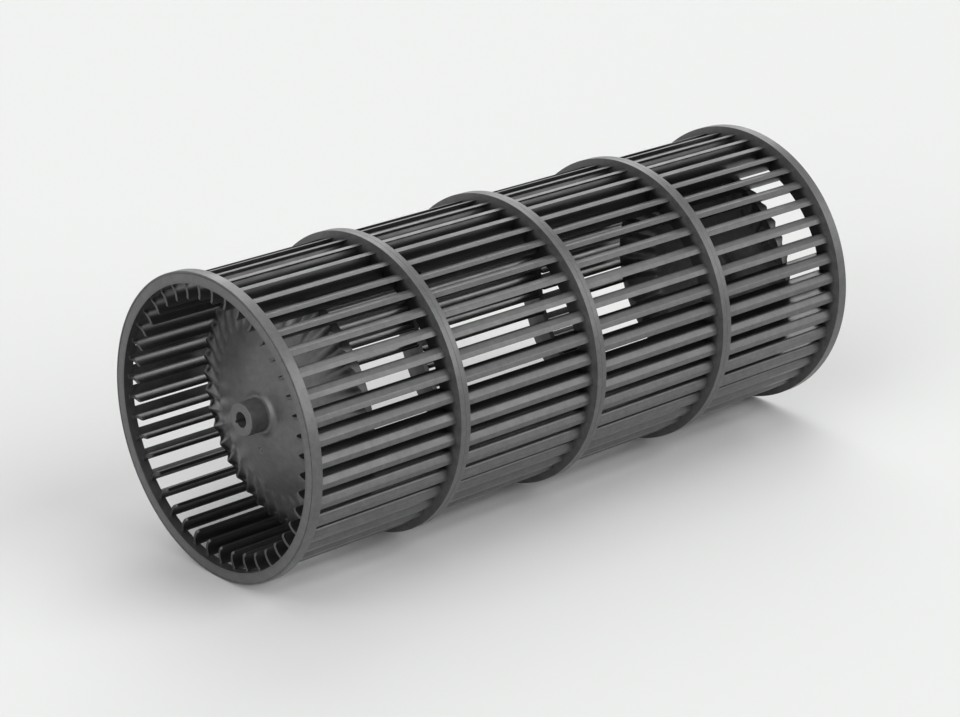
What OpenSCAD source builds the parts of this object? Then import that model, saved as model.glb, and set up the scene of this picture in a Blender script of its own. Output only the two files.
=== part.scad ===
// Squirrel-cage blower wheel, moulded in four sections that are welded end to end.
// It stands on its rear ring: Z runs along the axle line, from the rear ring up to
// the open front end, and the origin is at the middle of the rear ring's face.

/* [Wheel] */
// Outside diameter over the rings
wheel_d = 160; // [150:1:200]
// Length of one moulded section
section_len = 94.4; // [80:0.1:120]
// How far the front and rear rims reach past their own section
end_lip = 2.7; // [1:0.1:6]

/* [Rings] */
// Width of one section's rim along the axle line
rim_w = 3.1; // [2:0.1:6]
// Radial depth of the hoop that stands outside the blades
hoop_depth = 6.2; // [4:0.1:8]
// Bevel on the rims' outer edges, which shows as the weld line
rim_bevel = 0.4; // [0.1:0.1:0.8]
// Width and depth of the parting groove in the front face
parting_groove = 0.4; // [0.2:0.1:0.8]

/* [Blades] */
// Blades in each section
blade_count = 42; // [30:1:46]
// How far the blades' outer edges lie inside the rings' outer surface
blade_inset = 3.7; // [2:0.1:5]
// Radial depth of a blade
blade_depth = 11.5; // [9:0.1:13]
// Blade thickness
blade_t = 1.6; // [1:0.1:2]
// Radius of a blade's curved web
blade_curve_r = 7.5; // [7:0.5:12]
// Radial depth of the flat tip that is folded back
tip_depth = 2.7; // [2.5:0.1:4]
// Lean of that tip away from straight outwards
tip_lean = 58; // [30:1:65]
// Radius of the corner at a blade's front inner end
blade_corner_r = 1.6; // [1:0.1:5]
// Turn of the blades' outer edges in the front and third sections
blade_phase = 11.2; // [0:0.1:17]
// Turn back of the blades in the second and rear sections
blade_stagger = 3.1; // [0:0.1:8]

/* [Hub discs] */
// Front face of the wheel to the face of the front boss
front_boss_inset = 18.4; // [5:0.1:25]
// Rear face of the wheel to the face of the rear boss
rear_boss_inset = 1.8; // [1:0.1:25]
// Thickness of the dished disc
disc_t = 2.4; // [1.5:0.1:4]
// Height of the dish, from the back of its rim to its crown
dish_h = 20.1; // [16:0.1:24]
// Height of the dish's face where it meets its rim
dish_edge_h = 2.7; // [2.5:0.1:3.6]
// Width of the rim that ties the disc to the blades
disc_rim_w = 4; // [3:0.1:6]
// Radial depth of that rim
disc_rim_depth = 3.2; // [2:0.1:5]

/* [Flutes] */
// Distance from the axle line to where the flutes begin
flute_start_r = 44; // [35:1:50]
// Radius of a flute's round crest where it begins
flute_start_crest = 1.6; // [0.5:0.1:2]
// Radius of the round crest at the disc's edge
flute_end_crest = 4.4; // [2:0.1:5]
// Height of the crest's middle line above the back of the rim, at the disc's edge
flute_end_h = 0.9; // [0:0.1:3]

/* [Boss] */
// Outside diameter of the boss
boss_d = 17.6; // [14:0.1:22]
// Height of the boss above the crown of the dish
boss_h = 12; // [8:0.5:20]
// Length of the boss behind the dish's back face
boss_back = 4.7; // [2:0.1:8]
// Diameter of the round step at the foot of the boss
collar_d = 21.6; // [18:0.1:28]
// Height of that step above the crown
collar_h = 1.2; // [0.5:0.1:3]
// Diameter of the shaft bore
bore_d = 8; // [5:0.5:12]
// Width and depth of the notch beside the bore
notch = 1.4; // [0.8:0.1:2]
// Direction of the notch
notch_turn = 193; // [0:1:359]

/* [Gate mark] */
// Diameter of the round recess left by the mould's gate
gate_d = 3.4; // [2:0.1:5]
// Distance of the gate mark from the axle line
gate_at_r = 21.5; // [18:0.5:30]
// Direction of the gate mark
gate_turn = 246; // [0:1:359]

/* [Hidden] */
$fn = 96;
// Overlap that makes two forms of one moulding a single solid
join = 0.4;
// How far a cut runs past the surface that it opens
cut_past = 1;
wheel_r = wheel_d / 2;
hoop_in_r = wheel_r - hoop_depth;
blade_out_r = wheel_r - blade_inset;
blade_in_r = blade_out_r - blade_depth;
tie_r = blade_in_r + 2 * join;
web_depth = blade_depth - tip_depth;
web_sweep = asin(web_depth / 2 / blade_curve_r);
web_rise = blade_curve_r * (1 - cos(web_sweep));
fold_r = blade_out_r - tip_depth;
tip_len = (tip_depth + 2) / cos(tip_lean);
tip_back = atan2(tip_depth * tan(tip_lean) - web_rise, blade_out_r);
root_lead = tip_back + atan2(web_rise, blade_in_r);
blade_pitch = 360 / blade_count;
dish_edge_r = tie_r - disc_rim_depth;
dish_drop = dish_h - dish_edge_h;
dish_r = (dish_edge_r * dish_edge_r + dish_drop * dish_drop) / (2 * dish_drop);
dish_back = dish_h - disc_t;
boss_r = boss_d / 2;
boss_top = dish_h + boss_h;
boss_len = boss_h + disc_t + boss_back;
gate_depth = 0.4;
gate_nib_r = 0.6;
plastic = [0.16, 0.165, 0.17];

// Height of the dish's front face at distance r from the axle line
function dish_face(r) = dish_h - dish_r + sqrt(dish_r * dish_r - r * r);

// Ring with bevelled outer edges between two heights
module ring(inner_r, z0, z1) {
    rotate_extrude()
        polygon([
            [inner_r, z0],
            [wheel_r - rim_bevel, z0],
            [wheel_r, z0 + rim_bevel],
            [wheel_r, z1 - rim_bevel],
            [wheel_r - rim_bevel, z1],
            [inner_r, z1]
        ]);
}

// Outline of one blade: a curved web that opens anticlockwise, and a flat tip folded back clockwise
module blade_outline() {
    reach = 2 * blade_curve_r;
    translate([blade_in_r + web_depth / 2, blade_curve_r])
        difference() {
            intersection() {
                circle(r = blade_curve_r + blade_t / 2);
                polygon([
                    [0, 0],
                    [-reach * sin(web_sweep), -reach * cos(web_sweep)],
                    [reach * sin(web_sweep), -reach * cos(web_sweep)]
                ]);
            }
            circle(r = blade_curve_r - blade_t / 2);
        }
    translate([fold_r, web_rise])
        rotate(-tip_lean) {
            circle(d = blade_t);
            translate([0, -blade_t / 2])
                square([tip_len, blade_t]);
        }
}

module blade(z0, z1) {
    translate([0, 0, z0])
        linear_extrude(z1 - z0)
            blade_outline();
}

// Cutter that rounds the inner corner at the blades' front ends
module blade_corner_cutter(z1) {
    rotate_extrude()
        difference() {
            translate([blade_in_r - cut_past, z1 - blade_corner_r])
                square(blade_corner_r + cut_past);
            translate([blade_in_r + blade_corner_r, z1 - blade_corner_r])
                circle(r = blade_corner_r);
        }
}

module blades(edge_turn, z0, z1) {
    difference() {
        intersection() {
            for (i = [0:blade_count - 1])
                rotate([0, 0, edge_turn + tip_back + i * blade_pitch])
                    blade(z0, z1);
            translate([0, 0, z0])
                cylinder(r = blade_out_r, h = z1 - z0);
        }
        blade_corner_cutter(z1);
    }
}

// Blades with their rear plate and front hoop; the lips lengthen the outermost rims
module cage(edge_turn, front_lip = 0, rear_lip = 0) {
    ring(tie_r, -rear_lip, rim_w);
    ring(hoop_in_r, section_len - rim_w, section_len + front_lip);
    blades(edge_turn, rim_w - join, section_len);
}

// Smooth ridges between the blade roots, which widen and rise towards the disc's edge
module flutes(edge_turn) {
    run = tie_r + join - flute_start_r;
    start_h = dish_face(flute_start_r) - flute_start_crest;
    drop = start_h - flute_end_h;
    crest_len = sqrt(run * run + drop * drop) + flute_end_crest;
    intersection() {
        for (i = [0:blade_count - 1])
            rotate([0, 0, edge_turn + root_lead + (i + 0.5) * blade_pitch])
                translate([flute_start_r, 0, start_h])
                    rotate([0, 90 + atan2(drop, run), 0])
                        cylinder(r1 = flute_start_crest, r2 = flute_end_crest, h = crest_len);
        cylinder(r = tie_r + join, h = dish_h);
    }
}

// Dished web of even thickness, cut off level with the back of its rim
module dish() {
    rotate_extrude()
        intersection() {
            difference() {
                translate([0, dish_h - dish_r])
                    circle(r = dish_r);
                translate([0, dish_h - dish_r])
                    circle(r = dish_r - disc_t);
            }
            square([tie_r - disc_rim_depth / 2, dish_h + cut_past]);
        }
}

module disc_rim() {
    difference() {
        cylinder(r = tie_r, h = disc_rim_w);
        translate([0, 0, -cut_past])
            cylinder(r = dish_edge_r, h = disc_rim_w + 2 * cut_past);
    }
}

module boss() {
    translate([0, 0, dish_back - boss_back])
        cylinder(r = boss_r, h = boss_len);
    translate([0, 0, dish_back])
        cylinder(d = collar_d, h = disc_t + collar_h);
}

// Shaft bore with the small notch beside it
module shaft_bore() {
    cut_len = boss_len + 2 * cut_past;
    translate([0, 0, dish_back - boss_back - cut_past]) {
        cylinder(d = bore_d, h = cut_len);
        rotate([0, 0, notch_turn])
            translate([0, -notch / 2, 0])
                cube([bore_d / 2 + notch, notch, cut_len]);
    }
}

// Round recess with a nib left standing in it
module gate_mark() {
    rotate([0, 0, gate_turn])
        translate([gate_at_r, 0, dish_face(gate_at_r)])
            rotate([0, asin(gate_at_r / dish_r), 0])
                difference() {
                    translate([0, 0, -gate_depth])
                        cylinder(d = gate_d, h = 2 * gate_depth);
                    translate([0, 0, -2 * gate_depth])
                        cylinder(r = gate_nib_r, h = 3 * gate_depth);
                }
}

// Hub disc with its boss pointing up from the back of the rim at height zero
module hub_disc(edge_turn) {
    difference() {
        union() {
            dish();
            disc_rim();
            flutes(edge_turn);
            boss();
        }
        shaft_bore();
        gate_mark();
    }
}

// Fine groove round the outer edge of the front face
module parting_cut() {
    outer_r = wheel_r - rim_bevel - parting_groove;
    translate([0, 0, section_len + end_lip - parting_groove])
        rotate_extrude()
            translate([outer_r - parting_groove, 0])
                square([parting_groove, parting_groove + cut_past]);
}

module section_at(k) {
    translate([0, 0, end_lip + k * section_len])
        children();
}

module front_hub_section() {
    color(plastic)
        section_at(3)
            difference() {
                union() {
                    cage(blade_phase, front_lip = end_lip);
                    translate([0, 0, section_len + end_lip - front_boss_inset - boss_top])
                        hub_disc(blade_phase);
                }
                parting_cut();
            }
}

module second_section() {
    color(plastic)
        section_at(2)
            cage(blade_phase - blade_stagger);
}

module third_section() {
    color(plastic)
        section_at(1)
            cage(blade_phase);
}

module rear_hub_section() {
    color(plastic)
        section_at(0) {
            cage(blade_phase - blade_stagger, rear_lip = end_lip);
            translate([0, 0, rear_boss_inset + boss_top - end_lip])
                mirror([0, 0, 1])
                    hub_disc(blade_phase - blade_stagger);
        }
}

front_hub_section();
second_section();
third_section();
rear_hub_section();
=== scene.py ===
"""Looks of the blower wheel: four black plastic mouldings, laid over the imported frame."""
import math

import bmesh
import bpy
from mathutils import Matrix, Vector


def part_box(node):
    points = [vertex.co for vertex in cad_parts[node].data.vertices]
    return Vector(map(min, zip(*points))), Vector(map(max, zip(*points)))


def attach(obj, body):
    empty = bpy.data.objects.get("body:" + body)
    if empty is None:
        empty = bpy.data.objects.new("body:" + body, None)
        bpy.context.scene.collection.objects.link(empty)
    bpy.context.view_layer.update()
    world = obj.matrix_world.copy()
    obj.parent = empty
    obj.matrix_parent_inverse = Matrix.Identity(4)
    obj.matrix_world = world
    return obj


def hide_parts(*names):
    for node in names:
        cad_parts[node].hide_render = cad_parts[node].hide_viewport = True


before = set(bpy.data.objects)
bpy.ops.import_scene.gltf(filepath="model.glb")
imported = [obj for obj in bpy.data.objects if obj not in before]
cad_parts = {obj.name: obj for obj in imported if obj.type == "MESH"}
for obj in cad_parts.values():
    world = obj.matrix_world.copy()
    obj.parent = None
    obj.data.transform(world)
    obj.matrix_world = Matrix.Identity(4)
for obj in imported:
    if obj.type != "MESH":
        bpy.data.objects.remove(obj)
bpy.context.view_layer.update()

# Millimetres are used for every size below, and MM turns them into metres
MM = 0.001

# Wheel, read from the frame
FRONT_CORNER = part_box("front_hub_section")[1]
WHEEL_R = FRONT_CORNER[0] / MM
FRONT_FACE = FRONT_CORNER[2] / MM
END_LIP = 2.7
SECTION_LEN = (FRONT_FACE - 2 * END_LIP) / 4

# Finish of the meshes: steps round a ring and round an edge, and the angle of a sharp edge
RING_STEPS = 288
ROUND_STEPS = 3
SHARP_FROM = math.radians(50)

# Overlap of forms that belong to one moulding
JOIN = 0.4

# Rings
RIM_W = 3.1
HOOP_DEPTH = 6.2
HOOP_IN_R = WHEEL_R - HOOP_DEPTH
RIM_ROUND = 0.22
GROOVE = 0.4
GROOVE_INSET = 0.8
GROOVE_OUT_R = WHEEL_R - GROOVE_INSET

# Blades: a curved web that opens anticlockwise, then a flat tip folded back clockwise
BLADE_COUNT = 42
BLADE_PITCH = 360 / BLADE_COUNT
BLADE_INSET = 3.7
BLADE_OUT_R = WHEEL_R - BLADE_INSET
BLADE_DEPTH = 11.5
BLADE_IN_R = BLADE_OUT_R - BLADE_DEPTH
BLADE_T = 1.6
BLADE_CURVE_R = 7.5
TIP_DEPTH = 2.7
TIP_LEAN = math.radians(58)
BLADE_CORNER_R = 1.6
BLADE_EDGE_R = 0.22
BLADE_EDGE_STEPS = 2
BLADE_CORNER_STEPS = 4
BLADE_PHASE = 11.2
BLADE_STAGGER = 3.1
WEB_SWEEP = math.asin((BLADE_DEPTH - TIP_DEPTH) / 2 / BLADE_CURVE_R)
WEB_RISE = BLADE_CURVE_R * (1 - math.cos(WEB_SWEEP))
TIP_BACK = math.degrees(math.atan2(TIP_DEPTH * math.tan(TIP_LEAN) - WEB_RISE, BLADE_OUT_R))
ROOT_LEAD = TIP_BACK + math.degrees(math.atan2(WEB_RISE, BLADE_IN_R))
TIE_R = BLADE_IN_R + 2 * JOIN

# A blade's middle line as (length, turn) stretches: the web, the fold, and the tip at full length
FOLD_BEND_R = 0.9
FOLD_CUT = 0.9
WEB_LEN = 2 * BLADE_CURVE_R * WEB_SWEEP - FOLD_CUT
WEB_TURN = WEB_LEN / BLADE_CURVE_R
FOLD_TURN = WEB_TURN - WEB_SWEEP + TIP_LEAN
FOLD_LEN = FOLD_BEND_R * FOLD_TURN
TIP_LEN = 2 * TIP_DEPTH / math.cos(TIP_LEAN)
BLADE_PATH = [(WEB_LEN, WEB_TURN), (FOLD_LEN, -FOLD_TURN), (TIP_LEN, 0)]
BLADE_STEPS = (6, 6, 2)

# Hub discs, with heights above the back of the disc's rim
DISC_T = 2.4
DISH_H = 20.1
DISH_EDGE_H = 2.7
DISC_RIM_W = 4
DISC_RIM_DEPTH = 3.2
DISH_EDGE_R = TIE_R - DISC_RIM_DEPTH
DISH_DROP = DISH_H - DISH_EDGE_H
DISH_R = (DISH_EDGE_R ** 2 + DISH_DROP ** 2) / (2 * DISH_DROP)
DISC_STATIONS = 12 * BLADE_COUNT
DISC_EDGE = 0.3
RIM_STEP_HALF = 0.6

# Flutes between the blade roots
FLUTE_START_R = 44
FLUTE_START_CREST = 1.6
FLUTE_END_CREST = 4.4
FLUTE_END_H = 0.9
FLUTE_RUN = TIE_R + JOIN - FLUTE_START_R
FLUTE_BLEND = 3.4
FLUTE_BLEND_RUN = 6
LEAST_BLEND = 0.01

# Boss
BOSS_R = 8.8
BOSS_H = 12
BOSS_TOP = DISH_H + BOSS_H
BOSS_BEHIND = 4.7
BOSS_BACK = DISH_H - DISC_T - BOSS_BEHIND
COLLAR_R = 10.8
COLLAR_H = 1.2
COLLAR_TOP = DISH_H + COLLAR_H
BORE_R = 4
NOTCH = 1.4
NOTCH_TURN = 193
NOTCH_MARGIN = 0.2
FRONT_BOSS_INSET = 18.4
REAR_BOSS_INSET = 1.8
FRONT_DISC_BACK = FRONT_FACE - FRONT_BOSS_INSET - BOSS_TOP
REAR_DISC_BACK = REAR_BOSS_INSET + BOSS_TOP

# Soft edges of the boss, as (outwards, upwards) steps from the corner that they stand for
BOSS_FACE_MIDDLE = 7
BORE_MOUTH = [(0, -0.25), (0.08, -0.07), (0.3, 0)]
BORE_REAR_EASE = 0.3
BOSS_EDGE = [(-0.5, 0), (-0.15, -0.14), (0, -0.5)]
BOSS_FOOT = [(0, 0.5), (0.12, 0.12), (0.5, 0)]
BOSS_REAR_EDGE = [(0, 0.4), (-0.4, 0)]
COLLAR_EDGE = [(-0.9, -0.05), (-0.4, -0.3), (0, -0.75), (0.4, -1.15)]
COLLAR_FOOT_R = COLLAR_R + COLLAR_EDGE[-1][0]

# Gate mark on the disc's face
GATE_R = 1.7
GATE_DEPTH = 0.4
GATE_NIB_R = 0.6
GATE_AT_R = 21.5
GATE_TURN = 246
GATE_EASE = 0.3
GATE_NIB_EASE = 0.2
GATE_FROM_R = GATE_AT_R - 2 * GATE_R
GATE_TO_R = GATE_AT_R + 2 * GATE_R

# Radii at which the disc's face and back change form, and the steps between them
DISC_EDGE_R = TIE_R - DISC_EDGE
FACE_STOPS = (COLLAR_FOOT_R, GATE_FROM_R, GATE_TO_R, FLUTE_START_R, DISC_EDGE_R)
FACE_STEPS = (6, 20, 10, 26)
BACK_STOPS = (DISC_EDGE_R, FLUTE_START_R, BOSS_R)
BACK_STEPS = (18, 6)

# Distances from the axle line: the painted light on the outer rims and blade edges grows from the
# first to the second, and the painted light on the disc is whole up to the third
PAINTED_LIGHT_FROM_R = 72
PAINTED_LIGHT_FULL_R = 75.5
DISC_SHINE_R = 56

# Plastic: its darkest and palest colour in the painted shade inside the wheel and in the painted
# light on the rims, blade edges and discs, then its finish
SHADED_TONES = ((0.007, 0.0072, 0.0075), (0.013, 0.0133, 0.0135))
LIT_TONES = ((0.040, 0.041, 0.042), (0.076, 0.076, 0.075))
ROUGHNESS = (0.32, 0.46)
SPECULAR = 0.55
GLOSS_IOR = 1.6
GRAIN_STRENGTH = 0.35
GRAIN_DEPTH = 0.00005

# Scales of the plastic's noise patterns
CLOUD_SCALE = 38
MOTTLE_SCALE = 240
SMUDGE_SCALE = 70
GRAIN_SCALE = 2600

# How far each moulding's pattern is moved against the one before, in metres
PATTERN_SHIFT = (0.37, 0.11, 0)

# Floor of the photograph: the wheel lies on its side, turned by this angle, and the floor
# reaches this many metres each way
FLOOR_TURN = 74.17
FLOOR_HALF = 6
FLOOR_COLOUR = (0.80, 0.81, 0.80, 1)

# Camera of the photograph, with its lens in millimetres and its place in metres
LENS = 103.07
SENSOR_WIDTH = 36
CAMERA_AT = (1.11941, 0.21985, 1.12623)
CAMERA_RIGHT = (0.64621, -0.18323, -0.74083)
CAMERA_UP = (0.0, 0.97075, -0.24009)
CAMERA_SEES = 50

# Light of the room, and the colour of the backdrop
ROOM_LIGHT = 0.16
BACKDROP = (0.81, 0.82, 0.81, 1)

# Lamps as name, turn, height, strength and width, with the angles in degrees
LAMP_DISTANCE = 3
LAMPS = [
    ("overhead", 200, 80, 0.65, 50),
    ("far_left", 118, 32, 1.75, 50),
    ("far_right", -130, 38, 0.95, 45),
    ("front", 0, 45, 0.7, 45),
    ("low_front", 20, 12, 1.4, 40),
]


def on_circle(r, turn):
    """Point at radius r and a turn in degrees, in the plane across the axle line."""
    angle = math.radians(turn)
    return r * math.cos(angle), r * math.sin(angle)


def rounded(corners):
    """Closed outline through (r, z, setback) corners, each rounded off over its setback."""
    outline = []
    for i, (r, z, setback) in enumerate(corners):
        corner = Vector((r, z))
        before = Vector(corners[i - 1][:2])
        after = Vector(corners[(i + 1) % len(corners)][:2])
        start = corner + (before - corner).normalized() * setback
        end = corner + (after - corner).normalized() * setback
        for step in range(ROUND_STEPS + 1):
            t = step / ROUND_STEPS
            outline.append(tuple(start.lerp(corner, t).lerp(corner.lerp(end, t), t)))
    return outline


def loft(loops, closed=True):
    """Vertices and quads between matching closed loops of points."""
    count = len(loops[0])
    verts = [point for loop in loops for point in loop]
    faces = []
    for row in range(len(loops) if closed else len(loops) - 1):
        this = row * count
        other = (row + 1) % len(loops) * count
        for i in range(count):
            j = (i + 1) % count
            faces.append((this + i, this + j, other + j, other + i))
    return verts, faces


def lathe(outline):
    """Closed outline of (r, z) points turned round the axle line."""
    loops = []
    for step in range(RING_STEPS):
        turn = 360 * step / RING_STEPS
        loops.append([(*on_circle(r, turn), z) for r, z in outline])
    return loft(loops)


def rim(inner_r, z0, z1):
    """Outline of a plain ring with rounded edges."""
    return rounded([
        (inner_r, z0, RIM_ROUND / 2),
        (WHEEL_R, z0, RIM_ROUND),
        (WHEEL_R, z1, RIM_ROUND),
        (inner_r, z1, RIM_ROUND / 2),
    ])


def grooved_rim(inner_r, z0, z1):
    """Outline of the front ring, with the fine parting groove in its face."""
    return rounded([
        (inner_r, z0, RIM_ROUND / 2),
        (WHEEL_R, z0, RIM_ROUND),
        (WHEEL_R, z1, RIM_ROUND),
        (GROOVE_OUT_R, z1, GROOVE / 4),
        (GROOVE_OUT_R, z1 - GROOVE, GROOVE / 4),
        (GROOVE_OUT_R - GROOVE, z1 - GROOVE, GROOVE / 4),
        (GROOVE_OUT_R - GROOVE, z1, GROOVE / 4),
        (inner_r, z1, RIM_ROUND),
    ])


def stations(stops, steps):
    """Values from stop to stop, without the first, with a count of even steps for each stretch."""
    values = []
    for low, high, count in zip(stops, stops[1:], steps):
        values += [low + (high - low) * (i + 1) / count for i in range(count)]
    return values


def midline(along):
    """Place and heading of a blade's middle line at a distance from its inner edge."""
    x, y, heading = BLADE_IN_R, WEB_RISE, -WEB_SWEEP
    for length, turn in BLADE_PATH:
        part = min(along, length)
        after = heading + turn * part / length
        if turn:
            x += (math.sin(after) - math.sin(heading)) * length / turn
            y -= (math.cos(after) - math.cos(heading)) * length / turn
        else:
            x += part * math.cos(heading)
            y += part * math.sin(heading)
        heading = after
        along -= part
    return x, y, heading


def bend(along, offset, z):
    """Point beside a blade's middle line, for the blade whose web is at turn zero."""
    x, y, heading = midline(along)
    return x - offset * math.sin(heading), y + offset * math.cos(heading), z


def tip_end(offset):
    """Distance along a blade at which the side at this offset reaches the outer radius."""
    start = WEB_LEN + FOLD_LEN
    x, y, _ = bend(start, offset, 0)
    reach = x * math.cos(TIP_LEAN) - y * math.sin(TIP_LEAN)
    return start - reach + math.sqrt(reach ** 2 + BLADE_OUT_R ** 2 - x ** 2 - y ** 2)


def blade_rows(inset, length, offset):
    """Rear and front edge of one level of a blade, as (along, z) points from its inner edge."""
    corner_r = BLADE_CORNER_R - inset
    front = []
    for step in range(BLADE_CORNER_STEPS + 1):
        angle = math.pi / 2 * step / BLADE_CORNER_STEPS
        along = BLADE_CORNER_R - corner_r * math.cos(angle)
        front.append((along, length - BLADE_CORNER_R + corner_r * math.sin(angle)))
    stops = (BLADE_CORNER_R, WEB_LEN, WEB_LEN + FOLD_LEN, tip_end(offset) - inset)
    front += [(along, length - inset) for along in stations(stops, BLADE_STEPS)]
    rear = [(along, RIM_W - JOIN + inset) for along, _ in front]
    return rear, front


def blade(length):
    """One folded blade with rounded edges, whose web is at turn zero."""
    loops = []
    for side in (-1, 1):
        levels = []
        for step in range(BLADE_EDGE_STEPS + 1):
            angle = math.pi / 2 * step / BLADE_EDGE_STEPS
            inset = BLADE_EDGE_R * (1 - math.cos(angle))
            offset = side * (BLADE_T / 2 - BLADE_EDGE_R + BLADE_EDGE_R * math.sin(angle))
            rear, front = blade_rows(inset, length, offset)
            levels.append([bend(along, offset, z) for along, z in rear + front[::-1]])
        loops += levels[::-1] if side < 0 else levels
    verts, faces = loft(loops, closed=False)
    count = len(loops[0])
    half = count // 2
    for first in (0, len(verts) - count):
        for i in range(half - 1):
            faces.append((first + i, first + i + 1, first + count - 2 - i, first + count - 1 - i))
    return verts, faces


def turned(form, turn):
    """A form turned round the axle line."""
    verts, faces = form
    cos, sin = on_circle(1, turn)
    return [(x * cos - y * sin, x * sin + y * cos, z) for x, y, z in verts], faces


def raised(form, z):
    """A form lifted along the axle line."""
    verts, faces = form
    return [(x, y, height + z) for x, y, height in verts], faces


def soft_step(x, low, high):
    """Smooth rise from 0 at low to 1 at high."""
    t = min(max((x - low) / (high - low), 0), 1)
    return t * t * (3 - 2 * t)


def soft_max(a, b, blend):
    """The larger of two heights, with a smooth hollow where they meet."""
    h = max(blend - abs(a - b), 0) / blend
    return max(a, b) + h * h * blend / 4


def dish_height(r, depth=0):
    """Height of the dish's face at radius r, or of a surface at a depth behind it."""
    return DISH_H - DISH_R + math.sqrt((DISH_R - depth) ** 2 - r * r)


def flute_crest(r, turn):
    """Height of a flute's middle line at radius r, and its half height at a turn from a root."""
    start_h = dish_height(FLUTE_START_R) - FLUTE_START_CREST
    along = (r - FLUTE_START_R) / FLUTE_RUN
    slope = (start_h - FLUTE_END_H) / FLUTE_RUN
    crest = FLUTE_START_CREST + (FLUTE_END_CREST - FLUTE_START_CREST) * along
    swell = 0.5 - 0.5 * math.cos(math.radians(360 * turn / BLADE_PITCH))
    return start_h - slope * (r - FLUTE_START_R), crest * math.hypot(1, slope) * swell


def gate_height(r, turn):
    """Height that the gate mark adds to the face: a round recess with a nib standing in it."""
    x, y = on_circle(r, turn)
    gate_x, gate_y = on_circle(GATE_AT_R, GATE_TURN)
    away = math.hypot(x - gate_x, y - gate_y)
    recess = 1 - soft_step(away, GATE_R - GATE_EASE, GATE_R + GATE_EASE)
    nib = 1 - soft_step(away, GATE_NIB_R - GATE_NIB_EASE, GATE_NIB_R + GATE_EASE)
    return GATE_DEPTH * (nib - recess)


def face_height(r, turn, root_turn):
    """Height of the disc's face; root_turn is where a blade's inner edge meets it."""
    height = dish_height(min(r, DISH_EDGE_R))
    onto_rim = soft_step(r, DISH_EDGE_R - RIM_STEP_HALF, DISH_EDGE_R + RIM_STEP_HALF)
    height += (DISC_RIM_W - DISH_EDGE_H) * onto_rim
    if r > FLUTE_START_R:
        middle, half = flute_crest(r, turn - root_turn)
        grown = soft_step(r, FLUTE_START_R, FLUTE_START_R + FLUTE_BLEND_RUN)
        height = soft_max(height, middle + half, FLUTE_BLEND * grown + LEAST_BLEND)
    elif abs(r - GATE_AT_R) < 2 * GATE_R:
        height += gate_height(r, turn)
    return height


def back_height(r, turn, root_turn):
    """Height of the disc's back, cut off level with the back of its rim."""
    height = dish_height(r, DISC_T)
    if r > FLUTE_START_R:
        middle, half = flute_crest(r, turn - root_turn)
        height = -soft_max(-height, half - middle, FLUTE_BLEND)
    return max(height, 0)


def bore_points():
    """Turn and radius of points round the bore, with the notch's four corners among them."""
    side = math.degrees(math.asin(NOTCH / 2 / BORE_R))
    corner_r = math.hypot(BORE_R + NOTCH, NOTCH / 2)
    corner = math.degrees(math.asin(NOTCH / 2 / corner_r))
    points = []
    for i in range(DISC_STATIONS):
        turn = 360 * i / DISC_STATIONS
        away = (turn - NOTCH_TURN + 180) % 360 - 180
        if abs(away) > side + NOTCH_MARGIN:
            points.append((turn, BORE_R))
        elif abs(away) < corner - NOTCH_MARGIN:
            points.append((turn, (BORE_R + NOTCH) / math.cos(math.radians(away))))
    for sign in (-1, 1):
        points.append((NOTCH_TURN + sign * side, BORE_R))
        points.append((NOTCH_TURN + sign * corner, corner_r))
    return sorted(points)


def eased(r, z, steps):
    """Points that stand for a corner at (r, z), each a small step away from it."""
    return [(r + out, z + up) for out, up in steps]


def boss_profile(bore_r):
    """Outline of the boss's front, from the bore's rear end to the foot of the collar."""
    profile = [(bore_r, BOSS_BACK + BORE_REAR_EASE)]
    profile += eased(bore_r, BOSS_TOP, BORE_MOUTH)
    profile.append((BOSS_FACE_MIDDLE, BOSS_TOP))
    profile += eased(BOSS_R, BOSS_TOP, BOSS_EDGE)
    profile += eased(BOSS_R, COLLAR_TOP, BOSS_FOOT)
    profile += eased(COLLAR_R, COLLAR_TOP, COLLAR_EDGE)
    return profile


def disc_profile(turn, bore_r, root_turn):
    """Closed (r, z) outline of the hub disc at one turn, from the bore out and back."""
    edge_h = face_height(TIE_R, turn, root_turn) - DISC_EDGE
    profile = boss_profile(bore_r)
    profile += [(r, face_height(r, turn, root_turn)) for r in stations(FACE_STOPS, FACE_STEPS)]
    profile += [(TIE_R, edge_h), (TIE_R, DISC_EDGE), (DISC_EDGE_R, 0)]
    profile += [(r, back_height(r, turn, root_turn)) for r in stations(BACK_STOPS, BACK_STEPS)]
    profile += eased(BOSS_R, BOSS_BACK, BOSS_REAR_EDGE)
    profile.append((bore_r + BORE_REAR_EASE, BOSS_BACK))
    return profile


def hub_disc(root_turn, back_z, facing):
    """Fluted hub disc with its boss; facing is 1 where the boss points up and -1 where down."""
    loops = []
    for turn, bore_r in bore_points():
        profile = disc_profile(turn, bore_r, root_turn)
        loops.append([(*on_circle(r, turn), back_z + facing * z) for r, z in profile])
    return loft(loops)


def cage(base, edge_turn, front_lip=0, rear_lip=0):
    """Rear plate, front hoop and blades of one section, as a list of forms."""
    hoop = grooved_rim if front_lip else rim
    forms = [
        lathe(rim(TIE_R, base - rear_lip, base + RIM_W)),
        lathe(hoop(HOOP_IN_R, base + SECTION_LEN - RIM_W, base + SECTION_LEN + front_lip)),
    ]
    one_blade = raised(blade(SECTION_LEN), base)
    forms += [turned(one_blade, edge_turn + TIP_BACK + i * BLADE_PITCH) for i in range(BLADE_COUNT)]
    return forms


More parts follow.
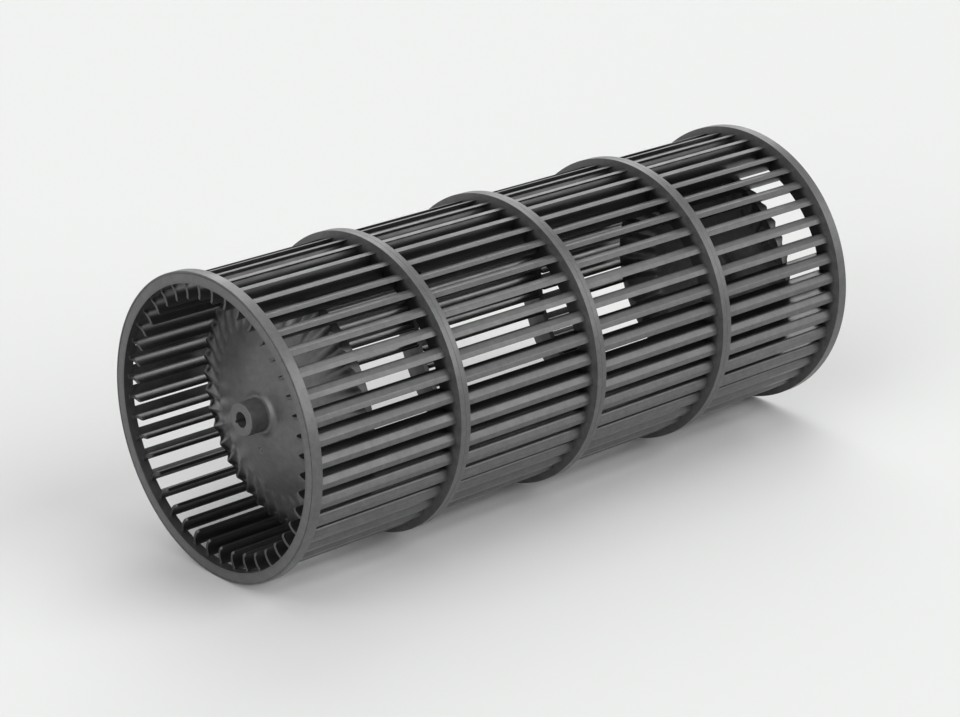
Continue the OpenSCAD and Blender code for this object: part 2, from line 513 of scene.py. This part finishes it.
def make_moulding(name, forms, node, material):
    """One object from several forms, which stands for a node of the frame."""
    mesh = bpy.data.meshes.new(name)
    verts = []
    faces = []
    for form_verts, form_faces in forms:
        first = len(verts)
        verts += [(x * MM, y * MM, z * MM) for x, y, z in form_verts]
        faces += [tuple(first + i for i in face) for face in form_faces]
    mesh.from_pydata(verts, [], faces)
    work = bmesh.new()
    work.from_mesh(mesh)
    bmesh.ops.recalc_face_normals(work, faces=work.faces)
    work.to_mesh(mesh)
    work.free()
    mesh.shade_smooth()
    mesh.set_sharp_from_angle(angle=SHARP_FROM)
    mesh.materials.append(material)
    piece = bpy.data.objects.new(name, mesh)
    bpy.context.scene.collection.objects.link(piece)
    weighted = piece.modifiers.new("even_normals", "WEIGHTED_NORMAL")
    weighted.keep_sharp = True
    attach(piece, "root")
    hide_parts(node)


class Nodes:
    """Short calls for adding and linking the nodes of a material or world."""

    def __init__(self, tree):
        self.tree = tree
        tree.nodes.clear()

    def link(self, start, end):
        self.tree.links.new(start, end)

    def noise(self, place, scale, detail=3, roughness=0.5):
        node = self.tree.nodes.new("ShaderNodeTexNoise")
        node.inputs["Scale"].default_value = scale
        node.inputs["Detail"].default_value = detail
        node.inputs["Roughness"].default_value = roughness
        self.link(place, node.inputs["Vector"])
        return node.outputs["Fac"]

    def spread(self, fac, low, high, start=0.3, end=0.7):
        """A factor between start and end, stretched to a range."""
        node = self.tree.nodes.new("ShaderNodeMapRange")
        node.inputs["From Min"].default_value = start
        node.inputs["From Max"].default_value = end
        node.inputs["To Min"].default_value = low
        node.inputs["To Max"].default_value = high
        self.link(fac, node.inputs["Value"])
        return node.outputs["Result"]

    def mix(self, fac, one, two):
        """A colour between two others, each plain or an output of another node."""
        node = self.tree.nodes.new("ShaderNodeMix")
        node.data_type = "RGBA"
        for name, colour in (("A", one), ("B", two)):
            socket = next(item for item in node.inputs if item.name == name and item.type == "RGBA")
            if isinstance(colour, tuple):
                socket.default_value = (*colour, 1)
            else:
                self.link(colour, socket)
        self.link(fac, node.inputs["Factor"])
        return next(item for item in node.outputs if item.type == "RGBA")

    def reach(self, place):
        """Distance of a place from the axle line."""
        flat = self.tree.nodes.new("ShaderNodeVectorMath")
        flat.operation = "MULTIPLY"
        flat.inputs[1].default_value = (1, 1, 0)
        self.link(place, flat.inputs[0])
        length = self.tree.nodes.new("ShaderNodeVectorMath")
        length.operation = "LENGTH"
        self.link(flat.outputs["Vector"], length.inputs[0])
        return length.outputs["Value"]

    def larger(self, one, two):
        node = self.tree.nodes.new("ShaderNodeMath")
        node.operation = "MAXIMUM"
        self.link(one, node.inputs[0])
        self.link(two, node.inputs[1])
        return node.outputs["Value"]


def painted_light_places(nodes, place):
    """Factor that is 1 on the rims, the blades' outer edges and the discs, where light is painted,
    and 0 between, where shade is painted.
    """
    reach = nodes.reach(place)
    outside = nodes.spread(reach, 0, 1, start=PAINTED_LIGHT_FROM_R * MM, end=PAINTED_LIGHT_FULL_R * MM)
    disc = nodes.spread(reach, 1, 0, start=DISC_SHINE_R * MM, end=DISH_EDGE_R * MM)
    return nodes.larger(outside, disc)


def black_plastic(name, seed):
    """Satin black plastic with a fine grain, smudges, painted light in grey on discs and outer
    edges, and painted shade between.
    """
    material = bpy.data.materials.new(name)
    material.use_nodes = True
    nodes = Nodes(material.node_tree)
    place = nodes.tree.nodes.new("ShaderNodeTexCoord").outputs["Object"]
    lit_mask = painted_light_places(nodes, place)
    shift = nodes.tree.nodes.new("ShaderNodeMapping")
    shift.inputs["Location"].default_value = [seed * part for part in PATTERN_SHIFT]
    nodes.link(place, shift.inputs["Vector"])
    place = shift.outputs["Vector"]
    shader = nodes.tree.nodes.new("ShaderNodeBsdfPrincipled")
    cloud = nodes.noise(place, CLOUD_SCALE, detail=4, roughness=0.55)
    shaded_tone = nodes.mix(nodes.spread(cloud, 0, 1), *SHADED_TONES)
    mottle = nodes.noise(place, MOTTLE_SCALE, detail=5, roughness=0.7)
    lit_tone = nodes.mix(nodes.spread(mottle, 0, 1), *LIT_TONES)
    # Painted shade inside the wheel, and painted light in a mottled grey on the rims, blade edges
    # and discs
    nodes.link(nodes.mix(lit_mask, shaded_tone, lit_tone), shader.inputs["Base Color"])
    smudge = nodes.noise(place, SMUDGE_SCALE, detail=5, roughness=0.6)
    nodes.link(nodes.spread(smudge, *ROUGHNESS), shader.inputs["Roughness"])
    grain = nodes.noise(place, GRAIN_SCALE, detail=2)
    bump = nodes.tree.nodes.new("ShaderNodeBump")
    bump.inputs["Strength"].default_value = GRAIN_STRENGTH
    bump.inputs["Distance"].default_value = GRAIN_DEPTH
    nodes.link(grain, bump.inputs["Height"])
    nodes.link(bump.outputs["Normal"], shader.inputs["Normal"])
    shader.inputs["IOR"].default_value = GLOSS_IOR
    shader.inputs["Specular IOR Level"].default_value = SPECULAR
    output = nodes.tree.nodes.new("ShaderNodeOutputMaterial")
    nodes.link(shader.outputs["BSDF"], output.inputs["Surface"])
    return material


def make_wheel():
    """The four mouldings, from the front down to the rear."""
    second_turn = BLADE_PHASE - BLADE_STAGGER
    front_forms = cage(END_LIP + 3 * SECTION_LEN, BLADE_PHASE, front_lip=END_LIP)
    front_forms.append(hub_disc(BLADE_PHASE + ROOT_LEAD, FRONT_DISC_BACK, 1))
    rear_forms = cage(END_LIP, second_turn, rear_lip=END_LIP)
    rear_forms.append(hub_disc(second_turn + ROOT_LEAD, REAR_DISC_BACK, -1))
    sections = [
        ("front_hub", front_forms),
        ("second", cage(END_LIP + 2 * SECTION_LEN, second_turn)),
        ("third", cage(END_LIP + SECTION_LEN, BLADE_PHASE)),
        ("rear_hub", rear_forms),
    ]
    for seed, (name, forms) in enumerate(sections):
        material = black_plastic(name + "_satin", seed)
        make_moulding(name + "_moulding", forms, name + "_section", material)


def floor_axes():
    """Directions of the photograph's floor: up from it, along the wheel's axle, and across."""
    up = Vector((*on_circle(1, FLOOR_TURN), 0))
    along = Vector((0, 0, 1))
    return up, along, up.cross(along)


def floor_paint():
    """Plain pale paint that is clear from behind, so that the floor never hides the wheel."""
    material = bpy.data.materials.new("floor_paint")
    material.use_nodes = True
    nodes = Nodes(material.node_tree)
    paint = nodes.tree.nodes.new("ShaderNodeBsdfDiffuse")
    paint.inputs["Color"].default_value = FLOOR_COLOUR
    clear = nodes.tree.nodes.new("ShaderNodeBsdfTransparent")
    side = nodes.tree.nodes.new("ShaderNodeNewGeometry")
    mix = nodes.tree.nodes.new("ShaderNodeMixShader")
    output = nodes.tree.nodes.new("ShaderNodeOutputMaterial")
    nodes.link(side.outputs["Backfacing"], mix.inputs["Fac"])
    nodes.link(paint.outputs["BSDF"], mix.inputs[1])
    nodes.link(clear.outputs["BSDF"], mix.inputs[2])
    nodes.link(mix.outputs["Shader"], output.inputs["Surface"])
    return material


def make_floor():
    """Floor under the lying wheel."""
    up, along, across = floor_axes()
    middle = -up * WHEEL_R * MM
    signs = ((-1, -1), (1, -1), (1, 1), (-1, 1))
    corners = [middle + (along * a + across * c) * FLOOR_HALF for a, c in signs]
    mesh = bpy.data.meshes.new("floor")
    mesh.from_pydata([tuple(corner) for corner in corners], [], [(0, 1, 2, 3)])
    if mesh.polygons[0].normal.dot(up) < 0:
        mesh.flip_normals()
    floor = bpy.data.objects.new("floor", mesh)
    bpy.context.scene.collection.objects.link(floor)
    mesh.materials.append(floor_paint())


def make_world():
    """Even room light, with a pale backdrop where the camera or a reflection looks at it."""
    world = bpy.data.worlds.new("room")
    bpy.context.scene.world = world
    world.use_nodes = True
    nodes = Nodes(world.node_tree)
    room = nodes.tree.nodes.new("ShaderNodeBackground")
    room.inputs["Color"].default_value = (1, 1, 1, 1)
    room.inputs["Strength"].default_value = ROOM_LIGHT
    seen = nodes.tree.nodes.new("ShaderNodeBackground")
    seen.inputs["Color"].default_value = BACKDROP
    path = nodes.tree.nodes.new("ShaderNodeLightPath")
    mix = nodes.tree.nodes.new("ShaderNodeMixShader")
    output = nodes.tree.nodes.new("ShaderNodeOutputWorld")
    reflected = nodes.larger(path.outputs["Is Glossy Ray"], path.outputs["Is Transmission Ray"])
    nodes.link(nodes.larger(path.outputs["Is Camera Ray"], reflected), mix.inputs["Fac"])
    nodes.link(room.outputs["Background"], mix.inputs[1])
    nodes.link(seen.outputs["Background"], mix.inputs[2])
    nodes.link(mix.outputs["Shader"], output.inputs["Surface"])


def make_lamp(name, turn, height, strength, width):
    """Soft far lamp; its turn goes round the floor's normal from the wheel's front end."""
    up, along, across = floor_axes()
    ahead, beside = on_circle(1, turn)
    level, rise = on_circle(1, height)
    towards = along * level * ahead + across * level * beside
    towards += up * rise
    lamp = bpy.data.lights.new(name, "SUN")
    lamp.energy = strength
    lamp.angle = math.radians(width)
    holder = bpy.data.objects.new(name, lamp)
    holder.rotation_euler = towards.to_track_quat("Z", "Y").to_euler()
    holder.location = towards * LAMP_DISTANCE
    bpy.context.scene.collection.objects.link(holder)


def make_camera():
    """Camera at the photograph's place."""
    right = Vector(CAMERA_RIGHT)
    up = Vector(CAMERA_UP)
    back = right.cross(up)
    turn = Matrix((right, up, back)).transposed().to_4x4()
    lens = bpy.data.cameras.new("photo_camera")
    lens.lens = LENS
    lens.sensor_width = SENSOR_WIDTH
    lens.sensor_fit = "HORIZONTAL"
    lens.clip_end = CAMERA_SEES
    camera = bpy.data.objects.new("photo_camera", lens)
    camera.matrix_world = Matrix.Translation(CAMERA_AT) @ turn
    bpy.context.scene.collection.objects.link(camera)
    bpy.context.scene.camera = camera


make_wheel()
make_floor()
make_world()
for lamp in LAMPS:
    make_lamp(*lamp)
make_camera()
bpy.context.scene.view_settings.view_transform = "Standard"
